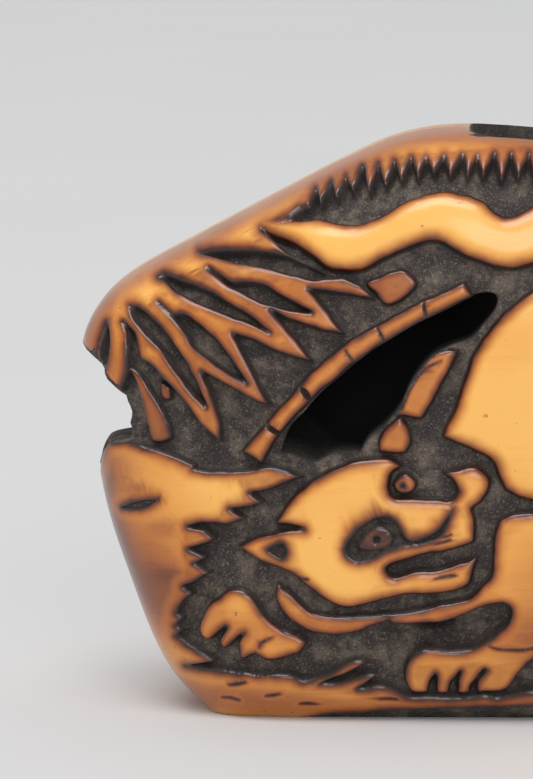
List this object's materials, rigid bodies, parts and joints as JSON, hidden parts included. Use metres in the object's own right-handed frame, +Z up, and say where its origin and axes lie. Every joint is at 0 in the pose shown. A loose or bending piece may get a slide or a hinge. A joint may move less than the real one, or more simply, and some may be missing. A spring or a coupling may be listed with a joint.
{
  "type": "netsuke",
  "caption": "Pebble-shaped carved antler toggle with a tiger under bamboo in sunken relief, a hollowed core, and openings in its front, crest and back for a cord.",
  "frame": {"origin": "middle of the flat foot, on the surface that the piece stands on", "axes": "+X along the piece from the tiger's head towards its rump, +Y from the carved front to the back, +Z up"},
  "size_m": [0.0509, 0.017, 0.033],
  "materials": {
    "antler": "stained and polished stag antler, with darkened matt recesses"
  },
  "bodies": {
    "root": {"netsuke": "antler"}
  },
  "joints": []
}
